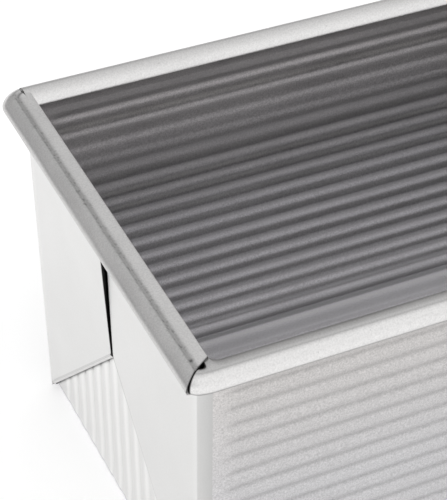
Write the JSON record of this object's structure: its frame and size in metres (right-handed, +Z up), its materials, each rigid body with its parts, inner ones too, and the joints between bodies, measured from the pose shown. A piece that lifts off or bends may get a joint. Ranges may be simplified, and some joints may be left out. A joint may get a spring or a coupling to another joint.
{
  "type": "pullman loaf pan",
  "caption": "Long straight-sided loaf pan folded from ribbed sheet steel, with a rim rolled over a wire and a ribbed cover that slides along the long rims.",
  "frame": {"origin": "middle of the underside, on the flat strip between the two middle floor grooves", "axes": "+X along the length, the way the cover is drawn off; +Y to the back long wall; +Z up, out of the mouth"},
  "size_m": [0.596, 0.115, 0.0966],
  "materials": {
    "pan_sheet": "bright, slightly satin aluminised surface",
    "cover_sheet": "bright, slightly satin aluminised surface",
    "rim_wire": "plain drawn wire"
  },
  "bodies": {
    "pan": {"floor_panel": "pan_sheet", "front_wall": "pan_sheet", "back_wall": "pan_sheet", "left_end_wall": "pan_sheet", "right_end_wall": "pan_sheet", "front_left_ear": "pan_sheet", "back_left_ear": "pan_sheet", "front_right_ear": "pan_sheet", "back_right_ear": "pan_sheet", "front_rim": "pan_sheet", "back_rim": "pan_sheet", "left_rim": "pan_sheet", "right_rim": "pan_sheet", "rim_wire": "rim_wire"},
    "cover": {"cover_panel": "cover_sheet", "cover_front_channel": "cover_sheet", "cover_back_channel": "cover_sheet", "cover_end_lip": "cover_sheet"}
  },
  "joints": [
    {"name": "cover_slide", "type": "slide", "parent": "pan", "child": "cover", "axis": [1, 0, 0], "range_m": [-0.25, 0.095]}
  ]
}
